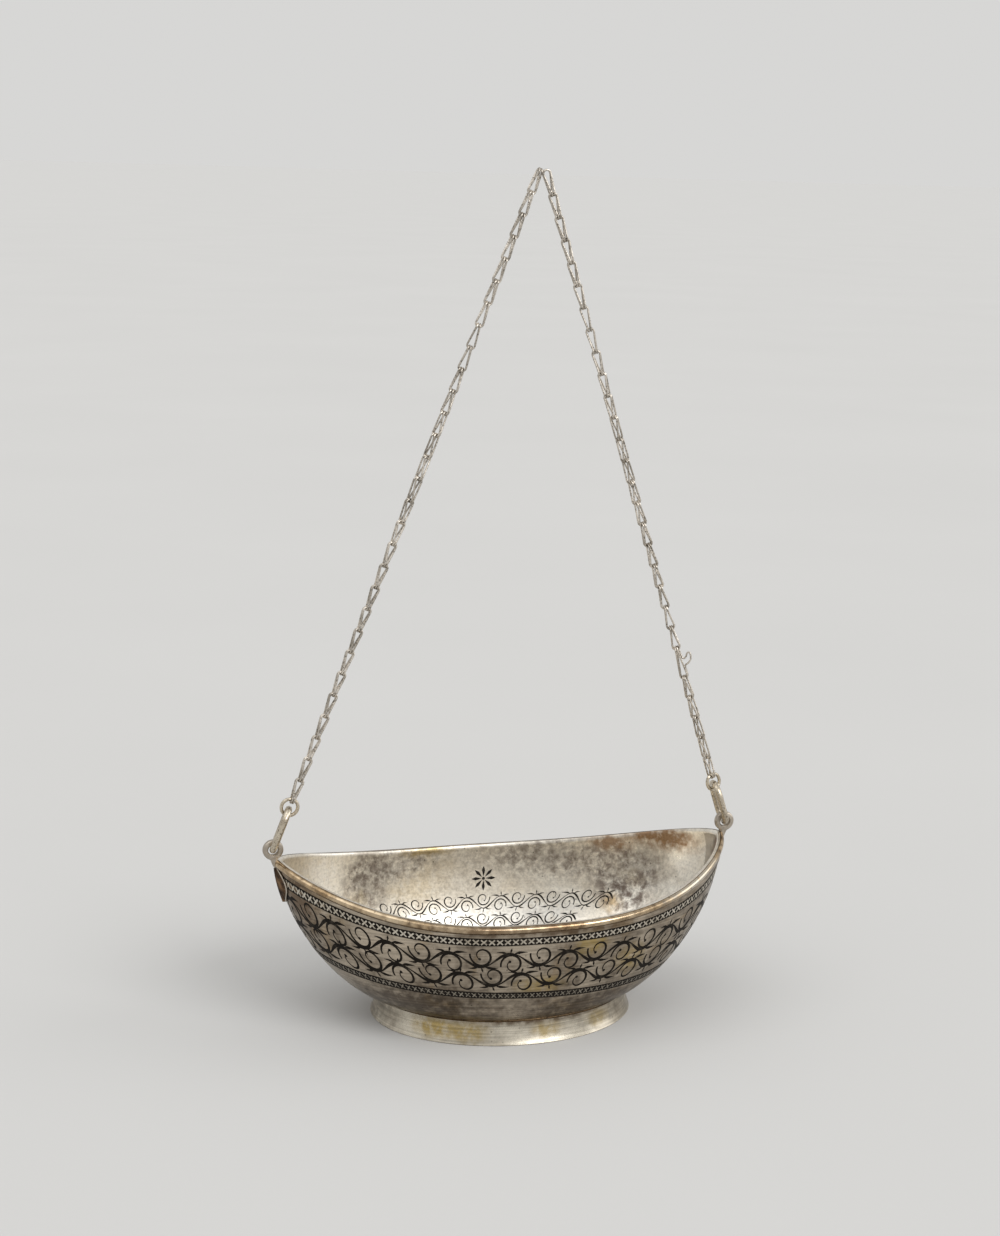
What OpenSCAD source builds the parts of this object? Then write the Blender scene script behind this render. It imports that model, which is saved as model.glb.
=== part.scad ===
// Boat-shaped begging bowl of sheet metal on an oval foot, with an eye at each tip and a carrying chain.
// Sizes are in millimetres. +Z is up and X runs from tip to tip.
// The origin is on the floor under the middle of the bowl.

/* [Bowl] */
// Length of the rim from tip to tip
rim_length = 165; // [140:1:200]
// Width of the rim at the middle
rim_width = 92; // [84:1:120]
// Height of the wall above the floor at the middle, without its upright edge
rim_height = 45; // [36:0.5:64]
// How much higher the tips are than the middle of the rim
sheer = 14; // [4:0.5:24]
// Thickness of the sheet
wall = 1.4; // [1:0.1:2.2]
// Height of the bowl's underside above the floor
underside = 3.2; // [2:0.1:5]

/* [Rim] */
// Height of the sheet's upright edge, at the top of the wall
upright_edge = 1.6; // [1.2:0.1:2.4]
// Radius of the half-round wire that is soldered along the outside of the edge
rim_wire_radius = 1.25; // [0.8:0.05:1.6]

/* [Foot] */
// Length of the foot on the floor
foot_length = 95; // [80:1:115]
// Width of the foot on the floor
foot_width = 75; // [64:1:82]
// Height at which the foot meets the bowl
foot_height = 8.8; // [7:0.2:14]
// How far the foot spreads on each side from its top to the floor
foot_flare = 1.8; // [0.6:0.1:4]
// Thickness of the foot's wall at its ends
foot_wall = 2.2; // [1.4:0.1:3.5]

/* [Eyes] */
// Outer diameter of the eye at each tip
eye_diameter = 7.2; // [6.4:0.1:10]
// Bore of the eye
eye_bore = 3.6; // [3.2:0.1:5]
// Thickness of the eye
eye_thickness = 2.2; // [1.4:0.1:3]
// Distance of the eye's middle beyond the tip of the rim
eye_reach = 1.6; // [1:0.1:4]
// Height of the eye's middle above the tip of the rim
eye_rise = 5.4; // [4.8:0.1:10]
// Thickness of the neck that holds the eye to the tip
neck_thickness = 1.3; // [0.8:0.1:2]
// Length of the leaf-shaped plate under the eye, down the outside of the bowl
leaf_length = 12.3; // [9:0.1:18]
// Width of the leaf
leaf_width = 11; // [6:0.1:14]
// Thickness of the leaf along its ridge
leaf_thickness = 1.3; // [0.8:0.1:2]

/* [Rings] */
// Wire of the long ring through the eye
shackle_wire = 2.4; // [1.8:0.1:2.8]
// Outer length of the long ring
shackle_length = 17.5; // [15:0.5:26]
// Outer width of the long ring
shackle_width = 10.8; // [9.6:0.2:14]
// Wire of the small round ring
jump_wire = 1.2; // [0.8:0.1:1.4]
// Outer diameter of the small round ring
jump_diameter = 7; // [6.4:0.1:10]

/* [Chain] */
// Wire of the chain's links
link_wire = 0.65; // [0.5:0.01:0.7]
// Distance from one link to the next
link_pitch = 7.95; // [7:0.05:11]
// Number of links from the left eye to the top
left_links = 29; // [15:2:41]
// Number of links from the right eye to the top
right_links = 28; // [14:2:40]
// Width of a link's folded end, between wire middles
fold_width = 2.6; // [2.5:0.05:3.2]
// Width of a link's looped end, between wire middles
loop_width = 2.6; // [2.5:0.05:3.2]
// Extra length of the mended link in the right half of the chain
mend_extra = 3.5; // [0.5:0.1:4]
// Length of the stray loop of wire on the mended link
mend_loop = 3.6; // [2.6:0.1:5]

/* [Hidden] */
$fn = 48;
// Points around each closed outline
around = 64;
// Steps up the wall
wall_steps = 10;
// Clearance between links, between rings, at the top of the chain, and between pieces soldered to each other
link_play = 0.2;
ring_play = 0.3;
top_play = 0.3;
seat_play = 0.02;

// Half sizes
rim_half = rim_length / 2;
beam = rim_width / 2;
foot_top_l = foot_length / 2 - foot_flare;
foot_top_w = foot_width / 2 - foot_flare;
tip_z = rim_height + sheer;

// Shape of the bowl: how round the outline is at the rim, how the rim rises, how the wall swells
rim_power = 2.4;
rim_blunt = 0.7;
sheer_power = 2.8;
end_swell = 1.52;
side_swell = 1.5;
point_power = 2.7;
dish_power = 2.2;

function swell(t, n) = pow(1 - pow(1 - t, n), 1 / n);
function half_length(t) = foot_top_l + (rim_half - foot_top_l) * swell(t, end_swell);
function half_width(t) = foot_top_w + (beam - foot_top_w) * swell(t, side_swell);
function outline(t, a) =
  let (g = pow(t, point_power), p = 2 + (rim_power - 2) * g, q = 0.5 + (rim_blunt - 0.5) * g)
  sign(sin(a)) * pow(max(0, 1 - pow(abs(cos(a)), p)), q);
function wall_z(t, a) =
  foot_height + (rim_height - foot_height) * t + sheer * pow(abs(cos(a)), sheer_power) * t;

// A point of the wall, drawn in by the inset, and a closed ring of such points
function wall_point(t, a, inset) =
  [(half_length(t) - inset) * cos(a), (half_width(t) - inset) * outline(t, a), wall_z(t, a) + 0.6 * inset * (1 - t)];
function wall_ring(t, inset) = [for (k = [0 : around - 1]) wall_point(t, 360 * k / around, inset)];
function raised(ring, height) = [for (p = ring) p + [0, 0, height]];

// One closed ring of points on the dished bottom, as a share c of the foot's top
function dish_z(c, lift) = underside + lift + (foot_height - underside - 0.4 * lift) * pow(c, dish_power);
function dish_ring(c, inset) = [for (k = [0 : around - 1]) let (a = 360 * k / around)
  [c * (foot_top_l - inset) * cos(a), c * (foot_top_w - inset) * sin(a), dish_z(c, inset)]];

// The foot's wall meets the dish along this share of its outline
foot_seat = 1 - foot_wall / foot_top_l;
dish_shares = [0.35, 0.6, 0.8, foot_seat];

// Triangles between rings of n points; a closed stack also joins its last ring to its first
function skin(rings, n, closed) = [for (j = [0 : rings - (closed ? 1 : 2)]) for (k = [0 : n - 1])
  let (p = j * n + k, q = j * n + (k + 1) % n, r = ((j + 1) % rings) * n + k, s = ((j + 1) % rings) * n + (k + 1) % n)
  each [[p, r, s], [p, s, q]]];
function cap(first, n, up) = [for (k = [0 : n - 1]) first + (up ? n - 1 - k : k)];
function joined(list) = [for (part = list) each part];

module bowl() {
  steps = [for (i = [0 : wall_steps]) pow(i / wall_steps, 1.5)];
  outer = concat([for (c = dish_shares) dish_ring(c, 0)], [for (t = steps) wall_ring(t, 0)],
    [raised(wall_ring(1, 0), upright_edge)]);
  inner = concat([raised(wall_ring(1, wall), upright_edge)],
    [for (i = [wall_steps : -1 : 0]) wall_ring(steps[i], wall)],
    [for (i = [len(dish_shares) - 1 : -1 : 0]) dish_ring(dish_shares[i], wall)]);
  rings = concat(outer, inner);
  color("silver") polyhedron(joined(rings), concat(skin(len(rings), around, false),
    [cap(0, around, false), cap((len(rings) - 1) * around, around, true)]));
}

// The rim wire: half a round, its flat side against the outside of the upright edge and its top level with it
function unit(v) = v / norm(v);
function wire_ring(a) =
  let (run = wall_point(1, a + 0.5, 0) - wall_point(1, a - 0.5, 0),
       out = unit(cross(run, [0, 0, 1])),
       here = wall_point(1, a, 0) + seat_play * out + [0, 0, upright_edge - rim_wire_radius])
  [for (b = [90 : -22.5 : -90]) here + rim_wire_radius * (cos(b) * out + [0, 0, sin(b)])];

module rim_wire() {
  sides = 9;
  rings = [for (k = [1 : around / 2 - 1]) wire_ring(360 * k / around)];
  faces = concat(skin(len(rings), sides, false),
    [cap(0, sides, false), cap((len(rings) - 1) * sides, sides, true)]);
  color("goldenrod") for (m = [0, 1]) mirror([0, m, 0]) polyhedron(joined(rings), faces);
}

// The foot: a flared collar under the dish, with a flat face on the floor
function oval_ring(l, w, z) = [for (k = [0 : around - 1]) let (a = 360 * k / around) [l * cos(a), w * sin(a), z]];
module foot_ring() {
  outer = [for (i = [0 : 4]) let (t = i / 4, spread = foot_flare * t * t, z = (foot_height - seat_play) * (1 - t))
    oval_ring(foot_top_l + spread, foot_top_w + spread, z)];
  lip = foot_flare / 2;
  inner = [oval_ring(foot_top_l - foot_wall + lip, foot_top_w - foot_wall + lip, 0),
    oval_ring(foot_top_l * foot_seat, foot_top_w * foot_seat, dish_z(foot_seat, 0) - seat_play)];
  rings = concat(outer, inner);
  color("lightgrey") polyhedron(joined(rings), [for (f = skin(len(rings), around, true)) [f[2], f[1], f[0]]]);
}

// The eyes: a bored disc on a neck that is soldered to the outside of each tip
eye_x = rim_half + eye_reach;
eye_z = tip_z + eye_rise;
neck_foot = tip_z - 1;
edge_top = tip_z + upright_edge;

module across(thickness) {
  rotate([90, 0, 0]) linear_extrude(height = thickness, center = true) children();
}

module eye() {
  foot_x = rim_half + seat_play;
  shoulder = eye_diameter * 0.3;
  color("gainsboro") difference() {
    union() {
      translate([eye_x, 0, eye_z]) rotate([90, 0, 0])
        cylinder(d = eye_diameter, h = eye_thickness, center = true);
      across(eye_thickness) polygon([[foot_x, neck_foot], [foot_x + neck_thickness, neck_foot],
        [foot_x + neck_thickness + 0.8, neck_foot + 2], [eye_x + shoulder, eye_z - eye_diameter / 4],
        [eye_x - shoulder, eye_z - eye_diameter / 4], [foot_x, edge_top + seat_play]]);
    }
    translate([eye_x, 0, eye_z]) rotate([90, 0, 0])
      cylinder(d = eye_bore, h = 2 * eye_thickness, center = true);
  }
}

// The leaves: a plate bent over the outside of each end, thick along its ridge and thin at its edges
leaf_top = neck_foot - 0.2;
leaf_seat = 0.1;
leaf_edge = 0.3;
leaf_rows = 8;
leaf_side = 3;
function wall_angle(t, y) =
  let (g = pow(t, point_power), p = 2 + (rim_power - 2) * g, q = 0.5 + (rim_blunt - 0.5) * g)
  acos(pow(1 - pow(y / half_width(t), 1 / q), 1 / p));
function leaf_ring(i) =
  let (s = i / leaf_rows,
       t = (leaf_top - leaf_length * s - foot_height) / (tip_z - foot_height),
       spread = wall_angle(t, leaf_width / 2 * (0.1 + 0.9 * sin(180 * pow(s, 0.8)))))
  concat([for (j = [-leaf_side : leaf_side]) wall_point(t, spread * j / leaf_side, -leaf_seat)],
    [for (j = [leaf_side : -1 : -leaf_side])
      let (ridge = (leaf_thickness - leaf_edge) * (1 - abs(j) / leaf_side))
      wall_point(t, spread * j / leaf_side, -leaf_seat - leaf_edge - ridge)]);

module leaf() {
  sides = 4 * leaf_side + 2;
  rings = [for (i = [0 : leaf_rows]) leaf_ring(i)];
  color("peru") polyhedron(joined(rings), concat(skin(len(rings), sides, false),
    [cap(0, sides, false), cap(leaf_rows * sides, sides, true)]));
}

// Rings and chain stand along a straight line from each eye to the top, s being the distance from the eye
shackle_top = shackle_length - shackle_wire;
jump_radius = (jump_diameter - jump_wire) / 2;
jump_middle = shackle_top - shackle_wire / 2 - ring_play - jump_wire / 2 + jump_radius;
jump_top = jump_middle + jump_radius;
chain_start = jump_top - jump_wire / 2 - link_wire / 2 - ring_play;

// A link is one closed loop of wire, folded in half and threaded through the two looped ends of the link before it.
// It starts from the middle of its fold, its legs spread along X, and each leg ends in a loop that is wide along Y.
fold_gap = 1.08 * link_wire;
loop_gap = 1.16 * link_wire;
fold_radius = fold_width / 2;
loop_radius = loop_width / 2;
link_sit = sqrt(pow(loop_radius - link_wire - link_play, 2) - pow(fold_gap / 2, 2));
link_hold = loop_radius - link_sit + fold_radius - sqrt(pow(fold_radius, 2) - pow(loop_gap / 2, 2));
function link_tip(pitch) = pitch + link_hold - fold_radius;
function leg_length(pitch) = sqrt(pow(link_tip(pitch), 2) + pow(loop_gap / 2, 2) - pow(fold_radius, 2));
function leg_lean(pitch) =
  acos(loop_gap / 2 / norm([fold_radius, leg_length(pitch)])) - atan2(leg_length(pitch), fold_radius);
function leg_open(pitch) =
  let (c = leg_length(pitch) - loop_radius, q = fold_gap / 2)
  asin(loop_radius / norm([c, q])) - atan2(q, c);

// Points of one fold and of the loop that follows it, set just outside the curve so that the chords clear
arc_steps = 4;
function fold_arc(pitch) =
  let (step = (180 + 2 * leg_lean(pitch)) / arc_steps, r = fold_radius / cos(step / 2))
  [for (j = [0 : arc_steps]) let (a = 270 + (j - arc_steps / 2) * step) [r * cos(a), fold_gap / 2, r * sin(a)]];
function loop_arc(pitch) =
  let (lean = leg_lean(pitch), step = (180 + 2 * leg_open(pitch)) / arc_steps, r = loop_radius / cos(step / 2))
  [for (j = [0 : arc_steps])
    let (b = (arc_steps / 2 - j) * step, v = leg_length(pitch) - loop_radius + r * cos(b))
    [fold_radius * cos(lean) - v * sin(lean), r * sin(b), fold_radius * sin(lean) + v * cos(lean)]];

// The mended link has a stray bight of wire on one leg: shares of the way along the leg, and of the bight's length
stray_bight = [[0.42, 0], [0.38, 0.4], [0.2, 0.68], [0.22, 1], [0.48, 0.84], [0.62, 0.4], [0.66, 0]];
function bight(start, end) =
  [for (p = stray_bight) start + (end - start) * p[0] + [0, mend_loop * p[1], 0]];
function half_link(pitch, stray) =
  let (fold = fold_arc(pitch), loop = loop_arc(pitch))
  concat(fold, stray ? bight(fold[arc_steps], loop[0]) : [], loop);
function link_path(pitch, stray) =
  concat(half_link(pitch, stray), [for (p = half_link(pitch, false)) [-p[0], -p[1], p[2]]]);

// Round wire along a closed path that never runs along the line halfway between X and Y
wire_sides = 6;
function wire_section(before, here, after) =
  let (run = unit(after - before), halfway = [1, 1, 0],
       side = unit(halfway - run * (run * halfway)), other = cross(run, side))
  [for (k = [0 : wire_sides - 1]) let (a = 360 * k / wire_sides)
    here + link_wire / 2 * (cos(a) * side + sin(a) * other)];

module link(pitch, stray = false) {
  path = link_path(pitch, stray);
  n = len(path);
  rings = [for (i = [0 : n - 1]) wire_section(path[(i + n - 1) % n], path[i], path[(i + 1) % n])];
  polyhedron(joined(rings), skin(n, wire_sides, true));
}

// How far each link is turned about the chain, as its lie in the hand changes along the chain
function left_turn(i) = 90 * max(0, min(1, (i - 12) / 12));
function right_turn(i) = i < 10 ? 70 * (i - 10) / 9 : 90 * max(0, min(1, (i - 12) / 12));
mended_link = 6;
function left_s(i) = chain_start + (i - 1) * link_pitch;
function right_s(i) = chain_start + (i - 1) * link_pitch + (i > mended_link ? mend_extra : 0);
function right_pitch(i) = link_pitch + (i == mended_link ? mend_extra : 0);
left_end = left_s(left_links + 1) + link_hold + link_wire / 2;
right_end = right_s(right_links + 1) + link_hold + link_wire / 2;

// The top is where the two straight strands meet. Each stops short of it: the right fold ends beside the left loops
function meet(l, r) = let (x = (l * l - r * r) / (4 * eye_x)) [x, eye_z + sqrt(l * l - pow(x + eye_x, 2))];
function lean_left(top) = atan2(top[0] + eye_x, top[1] - eye_z);
function lean_right(top) = atan2(top[0] - eye_x, top[1] - eye_z);
first_top = meet(left_end, right_end);
first_left = lean_left(first_top);
first_right = -lean_right(first_top);
loops_half = (loop_gap + link_wire) / 2;
fold_half = fold_radius + link_wire / 2;
left_room = (loops_half + top_play / 2) / sin(first_left);
top_gap = loops_half / cos(first_left) + fold_half / cos(first_right) + top_play;
right_room = top_gap * cos(first_left) / sin(first_left + first_right) - fold_radius;
top = meet(left_end + left_room, right_end + right_room);
left_lean = lean_left(top);
right_lean = lean_right(top);

module left_strand() {
  translate([-eye_x, 0, eye_z]) rotate([0, left_lean, 0]) children();
}

module right_strand() {
  translate([eye_x, 0, eye_z]) rotate([0, right_lean, 0]) children();
}

// The long ring lies in the plane of Y and the strand
module shackle() {
  bow = (shackle_width - shackle_wire) / 2;
  straight = shackle_top - 2 * bow;
  color("silver") translate([0, 0, bow]) rotate([90, 0, 90]) {
    translate([0, straight]) half_ring(bow);
    rotate(180) half_ring(bow);
    for (s = [-1, 1]) translate([s * bow, 0]) rotate([-90, 0, 0]) cylinder(d = shackle_wire, h = straight);
  }
}

module half_ring(radius) {
  rotate_extrude(angle = 180) translate([radius, 0]) circle(d = shackle_wire);
}

module jump_ring() {
  color("gainsboro") translate([0, 0, jump_middle]) rotate([90, 0, 0])
    rotate_extrude() translate([jump_radius, 0]) circle(d = jump_wire);
}

module left_link(i) {
  translate([0, 0, left_s(i) + fold_radius]) rotate(90 + left_turn(i)) link(link_pitch);
}

module right_link(i) {
  translate([0, 0, right_s(i) + link_tip(right_pitch(i))]) rotate(90 + right_turn(i)) rotate([180, 0, 0])
    link(right_pitch(i), i == mended_link);
}

module left_pair(k) {
  color("darkgrey") left_strand() for (i = [2 * k - 1 : min(2 * k, left_links)]) left_link(i);
}

module right_pair(k) {
  color("darkgrey") right_strand() for (i = [2 * k - 1 : 2 * k]) if (i != mended_link) right_link(i);
}

module mended() {
  color("dimgrey") right_strand() right_link(mended_link);
}

left_bodies = ceil(left_links / 2);
right_bodies = ceil(right_links / 2);
function number(k) = k < 10 ? str("0", k) : str(k);
function left_name(k) = str("left_chain_", number(k));
function right_name(k) = str("right_chain_", number(k));

bowl();
rim_wire();
foot_ring();
mirror([1, 0, 0]) eye();  // left_eye
eye();  // right_eye
mirror([1, 0, 0]) leaf();  // left_leaf
leaf();  // right_leaf
left_strand() rotate(-15) shackle();  // left_shackle
right_strand() rotate(-6) shackle();  // right_shackle
left_strand() jump_ring();  // left_jump_ring
right_strand() rotate(20) jump_ring();  // right_jump_ring
mended();  // mended_link
for (k = [1 : left_bodies]) left_pair(k);
for (k = [1 : right_bodies]) right_pair(k);
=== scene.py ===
"""Looks of the boat-shaped begging bowl and its chain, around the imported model. Sizes are in millimetres."""
import math

import bpy
import numpy as np
from mathutils import Matrix, Vector, noise


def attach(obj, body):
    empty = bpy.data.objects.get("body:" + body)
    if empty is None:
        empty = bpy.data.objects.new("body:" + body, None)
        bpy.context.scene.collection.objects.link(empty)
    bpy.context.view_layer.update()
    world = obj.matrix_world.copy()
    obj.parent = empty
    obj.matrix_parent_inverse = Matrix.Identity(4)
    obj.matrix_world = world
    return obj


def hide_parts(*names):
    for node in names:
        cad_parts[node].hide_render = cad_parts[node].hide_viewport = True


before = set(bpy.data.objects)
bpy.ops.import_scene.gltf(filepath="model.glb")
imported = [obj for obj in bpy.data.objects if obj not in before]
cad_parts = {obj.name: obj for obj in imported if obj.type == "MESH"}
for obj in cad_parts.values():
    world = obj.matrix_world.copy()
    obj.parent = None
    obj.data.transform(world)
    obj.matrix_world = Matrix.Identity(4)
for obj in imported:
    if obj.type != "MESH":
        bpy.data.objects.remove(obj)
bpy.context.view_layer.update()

MM = 0.001
UP = np.array((0.0, 0.0, 1.0))
# Shortest length that a direction is divided by
TINY = 1e-9

# Sizes of the bowl, its rim and its foot
RIM_HALF = 82.5
BEAM = 46.0
RIM_HEIGHT = 45.0
SHEER = 14.0
WALL = 1.4
UNDERSIDE = 3.2
EDGE = 1.6
BEAD = 1.25
FOOT_HALF_LENGTH = 47.5
FOOT_HALF_WIDTH = 37.5
FOOT_HEIGHT = 8.8
FLARE = 1.8
FOOT_WALL = 2.2
FOOT_TOP_L = FOOT_HALF_LENGTH - FLARE
FOOT_TOP_W = FOOT_HALF_WIDTH - FLARE
TIP_Z = RIM_HEIGHT + SHEER

# Shape of the bowl: how round the outline is at the rim, how the rim rises, how the wall and the dish swell
RIM_POWER = 2.4
RIM_BLUNT = 0.7
SHEER_POWER = 2.8
END_SWELL = 1.52
SIDE_SWELL = 1.5
POINT_POWER = 2.7
DISH_POWER = 2.2
# Shares of an inset by which the foot of the wall rises and the dish gets shallower
INSET_RISE = 0.6
INSET_LOSS = 0.4

# Sizes of the eyes and of the leaves under them
EYE_REACH = 1.6
EYE_RISE = 5.4
EYE_X = RIM_HALF + EYE_REACH
EYE_Z = TIP_Z + EYE_RISE
EYE_RADIUS = 3.6
EYE_BORE = 1.8
EYE_HALF = 1.1
NECK_DROP = 1.0
NECK_FOOT = TIP_Z - NECK_DROP
LEAF_GAP = 0.2
LEAF_TOP = NECK_FOOT - LEAF_GAP
LEAF_LENGTH = 12.3
LEAF_WIDTH = 11.0
LEAF_RIDGE = 1.3
LEAF_EDGE = 0.35

# Sizes of the long ring and the small ring at each eye
SHACKLE_WIRE = 2.4
SHACKLE_LENGTH = 17.5
SHACKLE_WIDTH = 10.8
SHACKLE_TOP = SHACKLE_LENGTH - SHACKLE_WIRE
SHACKLE_BOW = (SHACKLE_WIDTH - SHACKLE_WIRE) / 2
JUMP_WIRE = 1.2
JUMP_DIAMETER = 7.0
JUMP_RADIUS = (JUMP_DIAMETER - JUMP_WIRE) / 2
RING_PLAY = 0.3
JUMP_MIDDLE = SHACKLE_TOP - SHACKLE_WIRE / 2 - RING_PLAY - JUMP_WIRE / 2 + JUMP_RADIUS

# Sizes of the chain
LINK_WIRE = 0.65
LINK_PITCH = 7.95
LINK_PLAY = 0.2
TOP_PLAY = 0.3
LEFT_LINKS = 29
RIGHT_LINKS = 28
FOLD_RADIUS = 1.3
LOOP_RADIUS = 1.3
MENDED = 6
MEND_EXTRA = 3.5
MEND_LOOP = 3.6
FOLD_GAP = 1.08 * LINK_WIRE
LOOP_GAP = 1.16 * LINK_WIRE
CHAIN_START = JUMP_MIDDLE + JUMP_RADIUS - JUMP_WIRE / 2 - LINK_WIRE / 2 - RING_PLAY
LINK_SIT = math.sqrt((LOOP_RADIUS - LINK_WIRE - LINK_PLAY) ** 2 - (FOLD_GAP / 2) ** 2)
LINK_HOLD = LOOP_RADIUS - LINK_SIT + FOLD_RADIUS - math.sqrt(FOLD_RADIUS ** 2 - (LOOP_GAP / 2) ** 2)

# Camera found from the photograph: angles, pixels to a millimetre at its target, distance and target
CAMERA_RISE = 11.605
CAMERA_YAW = 17.624
CAMERA_ROLL = -1.696
CAMERA_SCALE = 2.871
CAMERA_REACH = 771.95
CAMERA_TARGET = (-4.458, 0.0, 143.327)
IMAGE_HEIGHT = 1236


# Shape of the hull

def swell(t, n):
    return (1 - (1 - np.clip(t, 0, 1)) ** n) ** (1 / n)


def half_length(t):
    return FOOT_TOP_L + (RIM_HALF - FOOT_TOP_L) * swell(t, END_SWELL)


def half_width(t):
    return FOOT_TOP_W + (BEAM - FOOT_TOP_W) * swell(t, SIDE_SWELL)


def outline_powers(t):
    """Powers of the outline at share t of the wall: an ellipse at the foot, with pointed ends at the rim."""
    g = np.clip(t, 0, 1) ** POINT_POWER
    return 2 + (RIM_POWER - 2) * g, 0.5 + (RIM_BLUNT - 0.5) * g


def wall_point(t, a, inset=0.0):
    """Point of the wall at share t of its height and angle a, drawn in by the inset."""
    p, q = outline_powers(t)
    across = np.sign(np.sin(a)) * np.maximum(0, 1 - np.abs(np.cos(a)) ** p) ** q
    x = (half_length(t) - inset) * np.cos(a)
    y = (half_width(t) - inset) * across
    z = FOOT_HEIGHT + (RIM_HEIGHT - FOOT_HEIGHT) * t + SHEER * np.abs(np.cos(a)) ** SHEER_POWER * t
    return np.stack(np.broadcast_arrays(x, y, z + INSET_RISE * inset * (1 - t)), -1)


def unit(vectors):
    return vectors / np.maximum(np.linalg.norm(vectors, axis=-1, keepdims=True), TINY)


def wall_normal(t, a, inset=0.0):
    """Outward normal of the wall, from points a small step away that stay between foot and rim."""
    step_t = 0.004
    step_a = 0.006
    lowest = 0.001
    highest = 0.99
    low = np.clip(t - step_t, lowest, highest)
    along = wall_point(low, a + step_a, inset) - wall_point(low, a - step_a, inset)
    rising = wall_point(low + 2 * step_t, a, inset) - wall_point(low, a, inset)
    return unit(np.cross(along, rising))


def dish_point(c, a, lift=0.0):
    """Point of the dished bottom at share c of the foot's top."""
    x = c * (FOOT_TOP_L - lift) * np.cos(a)
    y = c * (FOOT_TOP_W - lift) * np.sin(a)
    z = UNDERSIDE + lift + (FOOT_HEIGHT - UNDERSIDE - INSET_LOSS * lift) * c ** DISH_POWER
    return np.stack(np.broadcast_arrays(x, y, z), -1)


def wall_angle(t, y):
    """Angle at which the wall is a distance y from the middle plane."""
    p, q = outline_powers(t)
    return math.acos((1 - (y / half_width(t)) ** (1 / q)) ** (1 / p))


def stem_t(z):
    """Share of the wall's height at which its ends reach a height z."""
    return (z - FOOT_HEIGHT) / (TIP_Z - FOOT_HEIGHT)


def raised(points, height):
    return points + height * UP


def full_turn(count):
    """Angles of a full turn, in equal steps."""
    return np.linspace(0, 2 * np.pi, count, endpoint=False)


# Meshes

# Radius in metres along which the way around the bowl is measured for the polish marks
LAY_RADIUS = 0.06


def add_object(name, data):
    made = bpy.data.objects.new(name, data)
    bpy.context.scene.collection.objects.link(made)
    return made


def add_piece(name, points, faces, material, slot, body="bowl", nodes=(), sharp=None):
    """One smooth mesh piece from points in millimetres, riding on a body; sharp is the angle of a crease."""
    mesh = bpy.data.meshes.new(name)
    mesh.from_pydata([tuple(float(c) * MM for c in p) for p in points], [], [tuple(f) for f in faces])
    mesh.validate()
    mesh.polygons.foreach_set("use_smooth", [True] * len(mesh.polygons))
    if sharp:
        mesh.set_sharp_from_angle(angle=math.radians(sharp))
    coats = material if isinstance(material, list) else [material]
    for coat in coats:
        mesh.materials.append(coat)
    piece = add_object(name, mesh)
    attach(piece, body)
    if nodes:
        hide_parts(*nodes)
    return piece


def lay_lines(piece):
    """Coordinates for the polish marks: the way around the bowl, and the height."""
    lay = piece.data.uv_layers.new(name="lay")
    for corner in piece.data.loops:
        p = piece.data.vertices[corner.vertex_index].co
        lay.data[corner.index].uv = (math.atan2(p.y, p.x) * LAY_RADIUS, p.z)


def grid_faces(rows, columns, closed=False):
    """Quads between rings of points; a closed stack also joins its last ring to its first."""
    faces = []
    for j in range(rows if closed else rows - 1):
        below = j * columns
        above = ((j + 1) % rows) * columns
        for k in range(columns):
            n = (k + 1) % columns
            faces.append((below + k, below + n, above + n, above + k))
    return faces


def capped_grid(rows, columns):
    """Quads between rings of points, then a cap on the first ring and one on the last."""
    first = tuple(range(columns - 1, -1, -1))
    last = tuple(range((rows - 1) * columns, rows * columns))
    return grid_faces(rows, columns) + [first, last]


def tube(path, radius, sides, closed=True, hint=(1, 1, 0)):
    """Points and faces of a round wire along a path that never runs along the hint."""
    path = np.asarray(path, float)
    hint = np.asarray(hint, float)
    if closed:
        run = unit(np.roll(path, -1, 0) - np.roll(path, 1, 0))
    else:
        run = unit(np.gradient(path, axis=0))
    side = unit(hint - run * (run @ hint)[:, None])
    other = np.cross(run, side)
    turn = full_turn(sides)[:, None]
    rings = [here + radius * (np.cos(turn) * a + np.sin(turn) * b) for here, a, b in zip(path, side, other)]
    faces = grid_faces(len(path), sides, closed=True) if closed else capped_grid(len(path), sides)
    return np.concatenate(rings), faces


def join(parts):
    """Several point and face lists as one."""
    points = []
    faces = []
    for p, f in parts:
        start = len(points)
        points.extend(np.asarray(p))
        faces.extend([tuple(i + start for i in q) for q in f])
    return points, faces


def slab(top, under, faces):
    """A sheet made solid: its faces, the same underneath, and walls along its edges."""
    n = len(top)
    edges = {(f[i - 1], f[i]) for f in faces for i in range(len(f))}
    below = [tuple(i + n for i in f[::-1]) for f in faces]
    walls = [(b, a, a + n, b + n) for a, b in sorted(edges) if (b, a) not in edges]
    return np.concatenate([top, under]), [*faces, *below, *walls]


# Materials

# Numbers of the colour sockets on a Mix node
MIX_SHARE = 0
MIX_FIRST = 6
MIX_SECOND = 7
MIX_RESULT = 2


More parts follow.
